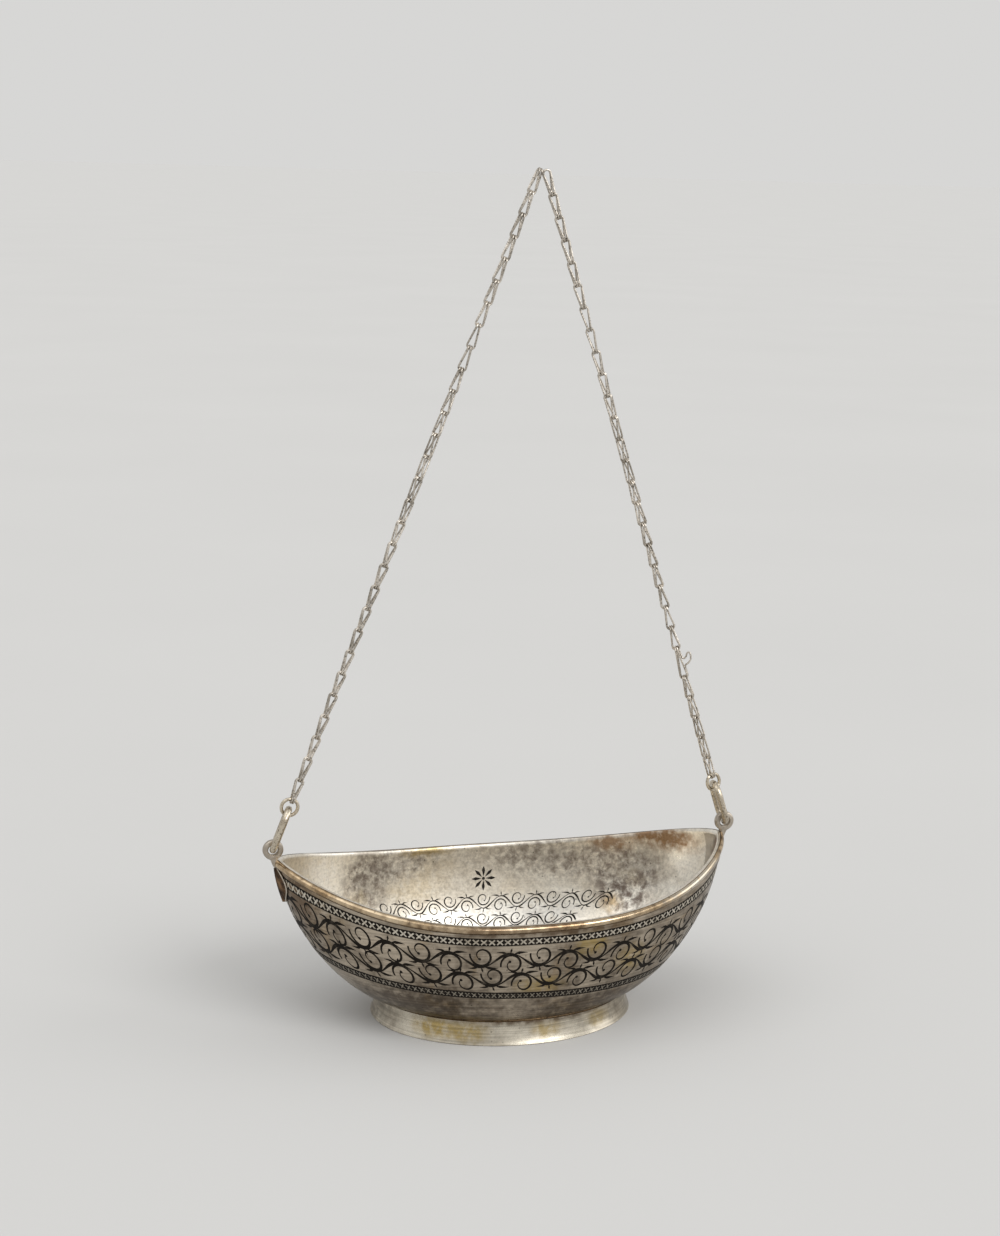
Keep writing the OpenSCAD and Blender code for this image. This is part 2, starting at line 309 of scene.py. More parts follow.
class Paint:
    """A node material on one Principled shader."""

    def __init__(self, name, metallic=1.0):
        self.material = bpy.data.materials.new(name)
        self.material.use_nodes = True
        self.tree = self.material.node_tree
        self.tree.nodes.clear()
        self.shader = self.node("BsdfPrincipled", {"Metallic": metallic})
        self.node("OutputMaterial", {"Surface": self.shader.outputs[0]})
        self.place = self.node("TexCoord", {})

    def put(self, socket, value):
        """Links a socket to an output, or sets it to a number or a colour."""
        if hasattr(value, "is_output"):
            self.tree.links.new(value, socket)
        elif isinstance(value, tuple) and len(value) == 3 and len(socket.default_value) == 4:
            socket.default_value = (*value, 1.0)
        else:
            socket.default_value = value

    def set(self, name, value):
        self.put(self.shader.inputs[name], value)

    def node(self, kind, inputs):
        """A new node with its inputs linked or set."""
        made = self.tree.nodes.new("ShaderNode" + kind)
        for name, value in inputs.items():
            self.put(made.inputs[name], value)
        return made

    def lay(self, scale):
        """Coordinates along and across the polish marks."""
        return self.node("Mapping", {"Vector": self.place.outputs["UV"], "Scale": scale}).outputs[0]

    def noise(self, scale, detail, rough, warp=0.0, vector=None):
        node = self.node("TexNoise", {"Vector": vector or self.place.outputs["Object"], "Scale": scale,
                                      "Detail": detail, "Roughness": rough, "Distortion": warp})
        return node.outputs["Fac"]

    def spots(self, scale):
        node = self.node("TexVoronoi", {"Vector": self.place.outputs["Object"], "Scale": scale})
        return node.outputs["Distance"]

    def ramp(self, value, *stops):
        """A shade or colour for each value, from stops that give a value and its shade or colour."""
        node = self.node("ValToRGB", {"Fac": value})
        while len(node.color_ramp.elements) < len(stops):
            node.color_ramp.elements.new(0.5)
        for element, (at, shade) in zip(node.color_ramp.elements, stops):
            element.position = at
            element.color = (*shade, 1.0) if isinstance(shade, tuple) else (shade, shade, shade, 1.0)
        return node.outputs[0]

    def mix(self, share, a, b, how="MIX"):
        node = self.node("Mix", {MIX_SHARE: share, MIX_FIRST: a, MIX_SECOND: b})
        node.data_type = "RGBA"
        node.blend_type = how
        return node.outputs[MIX_RESULT]

    def darkened(self, colour, shade):
        return self.mix(1.0, colour, shade, "MULTIPLY")

    def math(self, how, a, b):
        node = self.node("Math", {0: a, 1: b})
        node.operation = how
        return node.outputs[0]

    def blended(self, a, share, b):
        """A share of one value and the rest of another."""
        return self.math("ADD", self.math("MULTIPLY", a, share), self.math("MULTIPLY", b, 1 - share))

    def near(self, centre, size):
        """1 at a point of the object, falling to 0 at the given distances from it along X, Y and Z."""
        shift = self.node("Mapping", {"Vector": self.place.outputs["Object"],
                                      "Location": [c * MM for c in centre], "Scale": [s * MM for s in size]})
        shift.vector_type = "TEXTURE"
        node = self.node("TexGradient", {"Vector": shift.outputs[0]})
        node.gradient_type = "SPHERICAL"
        return node.outputs["Fac"]

    def bump(self, height, strength, depth):
        node = self.node("Bump", {"Strength": strength, "Distance": depth * MM, "Height": height})
        self.set("Normal", node.outputs[0])


def metal(name, bright, dull, dark, roughness, polish=(30, 1400), warm=None, stains_and_painted_light=(), dapples=(),
          dark_share=0.5, streak=0.9, clouds=42, grain=1.0):
    """Worn silver: mottled tarnish, fine polish marks along the wall, small pits, and patches at given places,
    among them real stain marks, painted shade and painted highlights.

    A stain has a centre, a size, a colour and a share. A dapple is a speckled stain of the dark colour.
    """
    paint = Paint(name)
    cloud = paint.noise(clouds, detail=5, rough=0.62, warp=0.6)
    mottle = paint.noise(380, detail=4, rough=0.6)
    fine = paint.noise(1100, detail=3, rough=0.6)
    lines = paint.noise(1.0, detail=2, rough=0.5, vector=paint.lay((*polish, 1)))
    base = paint.mix(paint.ramp(cloud, (0.36, 0.0), (0.66, 1.0)), bright, dull)
    patches = paint.math("MULTIPLY", paint.ramp(mottle, (0.40, 0.0), (0.70, 1.0)),
                         paint.ramp(cloud, (0.36, 0.12), (0.6, dark_share)))
    base = paint.mix(patches, base, dark)
    if warm:
        glow = paint.noise(60, detail=4, rough=0.6, warp=1.0)
        base = paint.mix(paint.ramp(glow, (0.54, 0.0), (0.7, 0.6)), base, warm)
    uneven = paint.ramp(mottle, (0.32, 0.3), (0.68, 1.0))
    # These patches include painted shade and painted highlights as well as real stain colour.
    for centre, size, colour, share in stains_and_painted_light:
        spread = paint.math("MULTIPLY", paint.near(centre, size), uneven)
        base = paint.mix(paint.ramp(spread, (0.05, 0.0), (0.5, share)), base, colour)
    speckle = paint.ramp(paint.noise(360, detail=5, rough=0.66, warp=0.3), (0.40, 0.0), (0.64, 1.0))
    for centre, size, share in dapples:
        spread = paint.ramp(paint.near(centre, size), (0.0, 0.0), (0.5, share))
        base = paint.mix(paint.math("MULTIPLY", spread, speckle), base, dark)
    base = paint.darkened(base, paint.ramp(fine, (0.36, grain), (0.56, 1.0)))
    base = paint.darkened(base, paint.ramp(lines, (0.35, streak), (0.65, 1.0)))
    base = paint.darkened(base, paint.ramp(paint.spots(240), (0.03, 0.3), (0.1, 1.0)))
    paint.set("Base Color", base)
    wear = paint.blended(cloud, 0.6, fine)
    paint.set("Roughness", paint.ramp(wear, (0.3, roughness[0]), (0.7, roughness[1])))
    paint.bump(paint.blended(lines, 0.5, fine), strength=0.35, depth=0.05)
    return paint.material


def wire_metal(name, bright, dull, dark, roughness):
    """Wire that is rubbed bright in places and blackened in others."""
    paint = Paint(name)
    cloud = paint.noise(150, detail=4, rough=0.6)
    fine = paint.noise(1600, detail=3, rough=0.6)
    base = paint.mix(paint.ramp(cloud, (0.38, 0.0), (0.62, 1.0)), bright, dull)
    base = paint.mix(paint.ramp(fine, (0.5, 0.0), (0.66, 0.8)), base, dark)
    paint.set("Base Color", base)
    paint.set("Roughness", paint.ramp(fine, (0.3, roughness[0]), (0.7, roughness[1])))
    paint.bump(fine, strength=0.4, depth=0.06)
    return paint.material


def dark_copper(name, rubbed, brown, dark):
    """Copper gone brown all over, with a dull skin."""
    paint = Paint(name, metallic=0.35)
    cloud = paint.noise(230, detail=5, rough=0.62, warp=0.5)
    fine = paint.noise(1300, detail=3, rough=0.6)
    paint.set("Base Color", paint.ramp(cloud, (0.36, rubbed), (0.5, brown), (0.64, dark)))
    paint.set("Roughness", paint.ramp(fine, (0.3, 0.45), (0.7, 0.7)))
    paint.set("Specular IOR Level", 0.2)
    paint.set("Specular Tint", rubbed)
    paint.bump(fine, strength=0.4, depth=0.06)
    return paint.material


def niello(name, shade, wear):
    """Black inlay, rubbed thin here and there."""
    paint = Paint(name, metallic=0.0)
    rub = paint.noise(420, detail=4, rough=0.6)
    paint.set("Base Color", paint.mix(paint.ramp(rub, (0.54, 0.0), (0.74, wear)), shade, WORN))
    paint.set("Roughness", paint.ramp(rub, (0.3, 0.42), (0.7, 0.62)))
    paint.set("Specular IOR Level", 0.06)
    paint.bump(rub, strength=0.3, depth=0.03)
    return paint.material


SILVER = (0.57, 0.49, 0.39)
# The dull tone is tarnished silver darkened further, a painted shade standing in for dark reflections outside.
DULL = (0.27, 0.22, 0.165)
TARNISH_AND_SHADE = (0.085, 0.065, 0.048)
OCHRE = (0.38, 0.27, 0.145)
YELLOW = (0.46, 0.33, 0.11)
HONEY = (0.66, 0.47, 0.24)
BEIGE = (0.72, 0.61, 0.43)
# Near-white used only for painted highlights on the inner wall.
PAINTED_HIGHLIGHT = (0.96, 0.93, 0.87)
POLISHED = (0.64, 0.59, 0.50)
GREY = (0.24, 0.205, 0.165)
WORN = (0.26, 0.22, 0.17)
PAINTED_SHADE_BROWN = (0.15, 0.10, 0.062)
WALNUT = (0.22, 0.145, 0.085)
UMBER = (0.33, 0.235, 0.135)
RUST = (0.30, 0.17, 0.08)
CHESTNUT = (0.30, 0.14, 0.06)
RED = (0.22, 0.06, 0.025)

outside_metal = metal(
    "bowl_outside", bright=SILVER, dull=DULL, dark=TARNISH_AND_SHADE, roughness=(0.24, 0.40), warm=OCHRE,
    dark_share=0.75, clouds=55, streak=0.66,
    stains_and_painted_light=[((18, -44, 38), (9, 9, 7), YELLOW, 0.7), ((0, -42, 24), (12, 9, 5), YELLOW, 0.6),
            # The brown patch at the left end, like the last one at the right end, is painted shade darkening
            # the ends.
            ((34, -37, 30), (9, 9, 8), YELLOW, 0.6), ((-78, -8, 50), (16, 16, 18), PAINTED_SHADE_BROWN, 0.85),
            # The two wide dark patches low on the front are painted shade standing in for dark reflections
            # under the hull.
            ((-40, -30, 16), (40, 26, 11), TARNISH_AND_SHADE, 0.75), ((20, -34, 13), (46, 24, 8), TARNISH_AND_SHADE, 0.7),
            # The thin brown band just under the front of the bead is a painted shadow.
            ((6, -46, 44), (60, 8, 2.5), PAINTED_SHADE_BROWN, 0.8), ((74, -12, 44), (16, 16, 20), PAINTED_SHADE_BROWN, 0.5)])
inside_metal = metal(
    "bowl_inside", bright=(0.95, 0.90, 0.80), dull=(0.76, 0.69, 0.575), dark=(0.18, 0.14, 0.115),
    roughness=(0.26, 0.44), dark_share=0.3, streak=0.92, clouds=75, grain=0.82,
    # The two palest patches, at the left end and low in the middle, are painted highlights.
    stains_and_painted_light=[((-62, 27, 44), (18, 16, 15), PAINTED_HIGHLIGHT, 0.95), ((18, 39, 21), (46, 16, 9), PAINTED_HIGHLIGHT, 0.95),
            ((-22, 41, 33), (20, 10, 8), BEIGE, 0.6), ((-14, 43, 40), (14, 8, 5), BEIGE, 0.5),
            ((52, 28, 26), (6, 8, 5), HONEY, 0.8), ((60, 26, 36), (7, 8, 5), BEIGE, 0.7),
            ((62, 24, 40), (20, 16, 13), GREY, 0.5), ((-40, 37, 38), (11, 12, 12), GREY, 0.35),
            ((68, 20, 53), (26, 20, 7), RUST, 0.9), ((52, 33, 48), (13, 12, 5), RUST, 0.8),
            ((34, 40, 42), (24, 12, 6), GREY, 0.3), ((-16, 43, 45.5), (14, 9, 3), YELLOW, 0.8),
            ((-46, 36, 32), (7, 8, 5), YELLOW, 0.4)],
    dapples=[((-43, 36, 37), (13, 12, 15), 0.8), ((-30, 41, 42), (26, 12, 8), 0.75),
             ((34, 40, 41), (32, 14, 11), 0.75), ((58, 28, 37), (22, 18, 15), 0.85),
             ((8, 44, 42), (18, 10, 6), 0.4), ((56, 25, 29), (13, 13, 9), 0.9),
             ((-34, -40, 40), (28, 14, 10), 0.65), ((36, -39, 39), (26, 14, 10), 0.6),
             ((60, -24, 40), (18, 16, 13), 0.7)])
rim_metal = metal(
    "rim_bead", bright=(0.74, 0.60, 0.42), dull=(0.44, 0.31, 0.175), dark=(0.11, 0.07, 0.04),
    roughness=(0.13, 0.3), polish=(60, 60), dark_share=0.95, clouds=60,
    stains_and_painted_light=[((0, 48, 46), (70, 14, 12), UMBER, 0.8), ((62, 26, 54), (26, 22, 9), CHESTNUT, 0.8),
            ((-30, 44, 47), (20, 14, 8), YELLOW, 0.6), ((-12, -46, 46), (36, 8, 6), WALNUT, 0.7),
            ((58, -24, 52), (28, 26, 10), POLISHED, 0.85)])
foot_metal = metal(
    "foot_silver", bright=(0.74, 0.68, 0.565), dull=(0.47, 0.41, 0.32), dark=TARNISH_AND_SHADE, roughness=(0.22, 0.38),
    dark_share=0.45, streak=0.66,
    stains_and_painted_light=[((-33, -27, 5), (12, 12, 5), YELLOW, 0.85), ((-22, -33, 4.5), (10, 10, 5), YELLOW, 0.8),
            ((6, -37, 5), (8, 8, 4), YELLOW, 0.65), ((27, -30, 5), (8, 8, 4), YELLOW, 0.5),
            # The brown band along the top of the front, under the hull, is a painted shadow.
            ((0, -36, 9), (60, 12, 3), PAINTED_SHADE_BROWN, 0.85), ((-44, -8, 5), (10, 14, 6), TARNISH_AND_SHADE, 0.3)])
eye_metal = metal(
    "eye_silver", bright=(0.66, 0.60, 0.52), dull=(0.46, 0.405, 0.335), dark=(0.15, 0.12, 0.095),
    roughness=(0.28, 0.44))
end_metal = metal(
    "end_plate", bright=(0.66, 0.61, 0.53), dull=(0.47, 0.42, 0.345), dark=(0.19, 0.155, 0.12),
    roughness=(0.32, 0.48),
    stains_and_painted_light=[((79, -5, 56), (6, 5, 8), RED, 0.95), ((-79, -5, 56), (6, 5, 8), RED, 0.8)])
leaf_metal = dark_copper(
    "leaf_copper", rubbed=(0.23, 0.145, 0.08), brown=(0.105, 0.062, 0.034), dark=(0.03, 0.02, 0.014))
ring_metal = wire_metal(
    "ring_silver", bright=(0.68, 0.61, 0.49), dull=(0.47, 0.405, 0.315), dark=(0.12, 0.095, 0.07),
    roughness=(0.24, 0.42))
chain_metal = wire_metal(
    "chain_wire", bright=(0.76, 0.70, 0.62), dull=(0.42, 0.38, 0.325), dark=(0.06, 0.052, 0.045),
    roughness=(0.22, 0.42))
# Dark solder, also laid on the bead's downward faces as painted shade.
solder_and_shade_metal = wire_metal(
    "solder", bright=(0.15, 0.10, 0.055), dull=(0.08, 0.052, 0.03), dark=(0.03, 0.02, 0.012),
    roughness=(0.4, 0.65))
cross_metal = wire_metal(
    "border_silver", bright=(0.66, 0.61, 0.52), dull=(0.47, 0.42, 0.34), dark=(0.20, 0.17, 0.135),
    roughness=(0.28, 0.45))
# A darker copy of the border silver: painted shade on the lower border, where the hull turns under.
shaded_cross_metal = wire_metal(
    "lower_border_shaded_silver", bright=(0.36, 0.325, 0.27), dull=(0.22, 0.195, 0.16), dark=(0.08, 0.07, 0.057),
    roughness=(0.3, 0.5))
black_inlay = niello("niello_black", shade=(0.010, 0.008, 0.006), wear=0.16)
thin_inlay = niello("niello_thin", shade=(0.018, 0.016, 0.014), wear=0.35)


# Bowl: dished bottom, wall, rim edge and inside, with the slight unevenness of hammered sheet

AROUND = 320
DISH_ROWS = 12
# Shares of the dish where its first and last rows lie
DISH_START = 0.03
DISH_END = 0.97
WALL_ROWS = 45
# Power that crowds the rows towards the foot of the wall
ROW_POWER = 1.4
EDGE_ROUND = 0.2
# Hammer marks: depth at a reach from the origin, waves to a millimetre, and the finer waves on them
BOWL_DENTS = 0.10
FOOT_DENTS = 0.06
DENT_REACH = 60
DENT_WAVES = 0.06
FINER_WAVES = 2.7
FINER_DEPTH = 0.5

angles = full_turn(AROUND)
dish_shares = np.linspace(DISH_START, DISH_END, DISH_ROWS)
wall_shares = np.linspace(0, 1, WALL_ROWS) ** ROW_POWER


def hammered(points, amount):
    """Points moved from or towards the origin by slow waves, as a hammer leaves them."""
    out = []
    for p in points:
        q = Vector(p) * DENT_WAVES
        wave = noise.noise(q) + FINER_DEPTH * noise.noise(q * FINER_WAVES)
        out.append(p * (1 + amount * wave / DENT_REACH))
    return out


outer_rows = [dish_point(c, angles) for c in dish_shares]
outer_rows += [wall_point(t, angles) for t in wall_shares]
outer_rows.append(raised(wall_point(1, angles), EDGE - EDGE_ROUND))
outer_rows.append(raised(wall_point(1, angles, EDGE_ROUND), EDGE))
inner_rows = [raised(wall_point(1, angles, WALL - EDGE_ROUND), EDGE)]
inner_rows.append(raised(wall_point(1, angles, WALL), EDGE - EDGE_ROUND))
inner_rows += [wall_point(t, angles, WALL) for t in wall_shares[::-1]]
inner_rows += [dish_point(c, angles, WALL) for c in dish_shares[::-1]]
bowl_points = hammered(np.concatenate(outer_rows + inner_rows), BOWL_DENTS)
bowl_faces = capped_grid(len(outer_rows) + len(inner_rows), AROUND)
bowl = add_piece("bowl_hull", bowl_points, bowl_faces, [outside_metal, inside_metal], nodes=["bowl"],
                 slot="bowl_metal", sharp=50)
lay_lines(bowl)
first_inside = (len(outer_rows) - 1) * AROUND
underside_cap = len(bowl_faces) - 2
for face in bowl.data.polygons:
    face.material_index = 1 if face.index >= first_inside and face.index != underside_cap else 0


# Rim: a half-round bead along the outside of the edge, with lines of solder under it and behind it

RIM_STEPS = 260
BEAD_STEPS = 13
# Degrees by which each half of the bead stops short of the tips
BEAD_STOP = 3
# Unevenness of the bead: its share of the radius, and its two waves around the rim
BEAD_UNEVEN = 0.03
BEAD_WAVES = (9, 23)
# Lines of solder: under the bead, and along the seam behind it, a little below the edge
SOLDER_RADIUS = 0.3
SEAM_RADIUS = 0.13
SEAM_DROP = 0.02
# How far the solder's middle is outside the wall, and the seam's inside it
SOLDER_OFF = 0.05
# Faces of the bead that look down more steeply than this take the dark solder colour as painted shade
SHADED_UNDERSIDE_SLOPE = -0.8


def moulding(first, last):
    """The bead between two angles, and its two lines of solder."""
    step = 0.01
    turn = np.radians(np.linspace(first, last, RIM_STEPS))
    rim_line = wall_point(1, turn)
    run = wall_point(1, turn + step) - wall_point(1, turn - step)
    out = unit(np.stack([run[:, 1], -run[:, 0], 0 * turn], -1))
    size = BEAD * (1 + BEAD_UNEVEN * np.sin(BEAD_WAVES[0] * turn) * np.sin(BEAD_WAVES[1] * turn))
    bend = np.radians(np.linspace(90, -90, BEAD_STEPS))[:, None]
    middles = raised(rim_line, EDGE - BEAD)
    rings = [p + r * (np.cos(bend) * o + np.sin(bend) * UP) for p, r, o in zip(middles, size, out)]
    bead = (np.concatenate(rings), capped_grid(RIM_STEPS, BEAD_STEPS))
    under = raised(rim_line + SOLDER_OFF * out, EDGE - 2 * BEAD)
    behind = raised(rim_line - SOLDER_OFF * out, EDGE - SEAM_DROP)
    solder = [tube(under, SOLDER_RADIUS, sides=8, closed=False, hint=UP),
              tube(behind, SEAM_RADIUS, sides=6, closed=False, hint=UP)]
    return bead, join(solder)


beads, seams = zip(moulding(BEAD_STOP, 180 - BEAD_STOP), moulding(180 + BEAD_STOP, 360 - BEAD_STOP))
rim = add_piece("rim_bead", *join(beads), [rim_metal, solder_and_shade_metal], nodes=["rim_wire"], slot="rim_metal",
                sharp=60)
lay_lines(rim)
# Painted shade: the bead's downward faces get the dark solder colour.
for face in rim.data.polygons:
    face.material_index = 1 if face.normal.z < SHADED_UNDERSIDE_SLOPE else 0
add_piece("rim_solder", *join(seams), solder_and_shade_metal, slot="rim_metal")


# Foot: a flared collar with rounded edges on the floor, and the solder around its top

FOOT_STEPS = 12
FOOT_ROUND = 0.35
# Rounding of the outer edge on the floor: how far in, and how high
OUTER_ROUNDING = ((0.12, 0.1), (0.4, 0.0))
INNER_ROUND = 0.3
# How far the collar's inside stops short of its top
FOOT_TOP_GAP = 0.6
FOOT_SOLDER = 0.55
SOLDER_SEAT = 0.1


def oval(grow, z):
    x = (FOOT_TOP_L + grow) * np.cos(angles)
    y = (FOOT_TOP_W + grow) * np.sin(angles)
    return np.stack(np.broadcast_arrays(x, y, z), -1)


foot_rows = []
for t in np.linspace(0, 1, FOOT_STEPS):
    foot_rows.append(oval(FLARE * t * t, FOOT_HEIGHT * (1 - t) + FOOT_ROUND * t))
foot_rows += [oval(FLARE - back, rise) for back, rise in OUTER_ROUNDING]
foot_inside = FLARE / 2 - FOOT_WALL
foot_rows.append(oval(foot_inside + INNER_ROUND, 0.0))
foot_rows.append(oval(foot_inside, INNER_ROUND))
foot_rows.append(oval(-FOOT_WALL, FOOT_HEIGHT - FOOT_TOP_GAP))
foot_points = hammered(np.concatenate(foot_rows), FOOT_DENTS)
foot_faces = [f[::-1] for f in grid_faces(len(foot_rows), AROUND, closed=True)]
foot = add_piece("foot_collar", foot_points, foot_faces, foot_metal, nodes=["foot_ring"], slot="foot_metal",
                 sharp=40)
lay_lines(foot)
foot_seam = tube(oval(SOLDER_SEAT, FOOT_HEIGHT - SOLDER_SEAT), FOOT_SOLDER, sides=8, hint=UP)
add_piece("foot_solder", *foot_seam, solder_and_shade_metal, slot="foot_metal")


# Eyes: a rounded disc with its bore on a broad neck, a ridged leaf outside each end and a plate inside it

EYE_SIDES = 48
BORE_ROUND = 0.3
# Rounding of the disc: how far in from its edge, and how far under its face
DISC_ROUNDING = ((0.5, 0.0), (0.15, 0.2), (0.0, 0.6))

NECK_SIDES = 20
# Height above the neck's foot, and where the neck begins and ends along X from the tip
NECK_STEPS = ((0, 0.02, 1.2), (0.8, 0.02, 1.7), (2.6, 0.02, 2.4),
              (3.4, -0.3, 3.1), (4.0, -0.6, 3.6), (4.4, -0.8, 3.9))
# How square the neck's section is, and its share of the eye's thickness
NECK_SQUARE = 0.5
NECK_THICKNESS = 0.96

# A plate bent over an end: its rows, its columns, and the share of its half angle at each column
PLATE_ROWS = 25
PLATE_COLUMNS = 17
PLATE_SHARES = np.linspace(-1, 1, PLATE_COLUMNS)
# The leaf: its share of width at the ends, how high it is widest, how it is crowned, and how it is seated
LEAF_BLUNT = 0.1
LEAF_POWER = 0.8
LEAF_CROWN = 0.9
LEAF_SEAT = 0.1
LEAF_BACK = 0.02
LEAF_EDGE_STEPS = 30
LEAF_EDGE_WIRE = 0.3
# The plate inside each end: where it stops, its half angle and taper, and how it is let into the wall
END_STOP = 0.64
END_ANGLE = math.radians(12.2)
END_LEAST = 0.004
END_TAPER = 1.15
END_PROUD = 0.3
END_SUNK = 0.1


def disc():
    half = [(EYE_BORE, EYE_HALF - BORE_ROUND), (EYE_BORE + BORE_ROUND, EYE_HALF)]
    half += [(EYE_RADIUS - back, EYE_HALF - down) for back, down in DISC_ROUNDING]
    profile = half + [(r, -y) for r, y in reversed(half)]
    points = []
    for r, y in profile:
        points += [(EYE_X + r * math.cos(b), y, EYE_Z + r * math.sin(b)) for b in full_turn(EYE_SIDES)]
    return points, grid_faces(len(profile), EYE_SIDES, closed=True)


def neck():
    points = []
    for rise, near, far in NECK_STEPS:
        middle = RIM_HALF + (near + far) / 2
        for b in full_turn(NECK_SIDES):
            x = abs(math.cos(b)) ** NECK_SQUARE * math.copysign((far - near) / 2, math.cos(b))
            y = abs(math.sin(b)) ** NECK_SQUARE * math.copysign(EYE_HALF * NECK_THICKNESS, math.sin(b))
            points.append((middle + x, y, NECK_FOOT + rise))
    return points, capped_grid(len(NECK_STEPS), NECK_SIDES)


def plate(top_t, bottom_t, spread, front, back):
    """A plate bent over the wall at an end; spread gives its half angle, front and back its insets."""
    rings = []
    for s in np.linspace(0, 1, PLATE_ROWS):
        t = top_t + (bottom_t - top_t) * s
        angle = spread(s, t) * PLATE_SHARES
        rings += [wall_point(t, angle, back), wall_point(t, angle[::-1], front)]
    return np.concatenate(rings), capped_grid(PLATE_ROWS, 2 * PLATE_COLUMNS)


def leaf_angle(s, t):
    """Half angle of the leaf at share s of its length and share t of the wall's height."""
    width = LEAF_BLUNT + (1 - LEAF_BLUNT) * math.sin(math.pi * s ** LEAF_POWER)
    return wall_angle(t, LEAF_WIDTH / 2 * width)


def leaf():
    ridge = (LEAF_RIDGE - LEAF_EDGE) * (1 - np.abs(PLATE_SHARES)) ** LEAF_CROWN
    bottom = LEAF_TOP - LEAF_LENGTH
    return plate(stem_t(LEAF_TOP), stem_t(bottom), leaf_angle, -LEAF_SEAT - LEAF_EDGE - ridge, -LEAF_BACK)


def leaf_edge():
    """The raised edge of the leaf, down one side of it and up the other."""
    down = np.linspace(0, 1, LEAF_EDGE_STEPS + 1)
    path = []
    for side, shares in ((1, down), (-1, down[-2::-1])):
        for s in shares:
            t = stem_t(LEAF_TOP - LEAF_LENGTH * s)
            path.append(wall_point(t, side * leaf_angle(s, t), -LEAF_EDGE))
    return tube(path, LEAF_EDGE_WIRE, sides=8, hint=(1, 0, 0))


def end_angle(s, t):
    """Half angle of the end plate at share s of its length."""
    return END_ANGLE * (1 - s) ** END_TAPER + END_LEAST


def end_plate():
    return plate(1.0, END_STOP, end_angle, WALL - END_SUNK, WALL + END_PROUD)


def mirrored(part, flip):
    points, faces = part
    points = [(-x if flip else x, y, z) for x, y, z in points]
    return points, [f[::-1] for f in faces] if flip else faces


for side, flip in (("left", True), ("right", False)):
    add_piece(side + "_eye_disc", *mirrored(disc(), flip), eye_metal, nodes=[side + "_eye"],
              slot="eye_metal", sharp=40)
    add_piece(side + "_eye_neck", *mirrored(neck(), flip), eye_metal, slot="eye_metal")
    add_piece(side + "_leaf_plate", *mirrored(leaf(), flip), leaf_metal, nodes=[side + "_leaf"],
              slot="leaf_metal", sharp=50)
    add_piece(side + "_leaf_edge", *mirrored(leaf_edge(), flip), eye_metal, slot="leaf_metal")
    add_piece(side + "_end_plate", *mirrored(end_plate(), flip), end_metal, slot="bowl_metal", sharp=50)


# Strands: a straight line from each eye to the top, along which rings and links are placed

# How the links' lie changes: a quarter turn over some links, and a turn that the first ones undo
QUARTER = 90
TURN_FROM = 12
TURN_OVER = 12
FIRST_TURN = 70
FIRST_LINKS = 10


def link_tip(pitch):
    return pitch + LINK_HOLD - FOLD_RADIUS


def leg_length(pitch):
    return math.sqrt(link_tip(pitch) ** 2 + (LOOP_GAP / 2) ** 2 - FOLD_RADIUS ** 2)


def right_pitch(i):
    return LINK_PITCH + (MEND_EXTRA if i == MENDED else 0)


def left_s(i):
    """Distance of a link of the left half from its eye."""
    return CHAIN_START + (i - 1) * LINK_PITCH


def right_s(i):
    """Distance of a link of the right half from its eye."""
    return left_s(i) + (MEND_EXTRA if i > MENDED else 0)


def left_turn(i):
    return QUARTER * max(0, min(1, (i - TURN_FROM) / TURN_OVER))


def right_turn(i):
    return FIRST_TURN * (i - FIRST_LINKS) / (FIRST_LINKS - 1) if i < FIRST_LINKS else left_turn(i)


def meet(left, right):
    """X and Z of the point where strands of the given lengths meet."""
    x = (left * left - right * right) / (4 * EYE_X)
    return x, EYE_Z + math.sqrt(left * left - (x + EYE_X) ** 2)


def lean(top, eye_x):
    return math.atan2(top[0] - eye_x, top[1] - EYE_Z)


def strand_frames():
    """Frame of each strand. Both stop short of the top, the right fold ending beside the left loops."""
    left_end = left_s(LEFT_LINKS + 1) + LINK_HOLD + LINK_WIRE / 2
    right_end = right_s(RIGHT_LINKS + 1) + LINK_HOLD + LINK_WIRE / 2
    first_top = meet(left_end, right_end)
    left_lean = lean(first_top, -EYE_X)
    right_lean = -lean(first_top, EYE_X)
    loops_half = (LOOP_GAP + LINK_WIRE) / 2
    fold_half = FOLD_RADIUS + LINK_WIRE / 2
    top_gap = loops_half / math.cos(left_lean) + fold_half / math.cos(right_lean) + TOP_PLAY
    left_end += (loops_half + TOP_PLAY / 2) / math.sin(left_lean)
    right_end += top_gap * math.cos(left_lean) / math.sin(left_lean + right_lean) - FOLD_RADIUS
    top = meet(left_end, right_end)
    frames = {}
    for side, eye_x in (("left", -EYE_X), ("right", EYE_X)):
        frames[side] = Matrix.Translation((eye_x, 0, EYE_Z)) @ Matrix.Rotation(lean(top, eye_x), 4, "Y")
    return frames


strands = strand_frames()


def moved(matrix, points):
    m = np.array(matrix)
    return np.asarray(points, float) @ m[:3, :3].T + m[:3, 3]


def turned(degrees):
    return Matrix.Rotation(math.radians(degrees), 4, "Z")


# Rings: the long one through each eye and the small one above it, each with its own turn about the strand

BOW_POINTS = 40
JUMP_POINTS = 72
RING_TURNS = (("left", -15, 0), ("right", -6, 20))


def shackle_path():
    path = []
    for way, middle in ((1, SHACKLE_TOP - SHACKLE_BOW), (-1, SHACKLE_BOW)):
        for b in np.linspace(0, math.pi, BOW_POINTS):
            path.append((0, way * SHACKLE_BOW * math.cos(b), middle + way * SHACKLE_BOW * math.sin(b)))
    return path


def jump_path():
    turn = full_turn(JUMP_POINTS)
    return [(JUMP_RADIUS * math.cos(b), 0, JUMP_MIDDLE + JUMP_RADIUS * math.sin(b)) for b in turn]


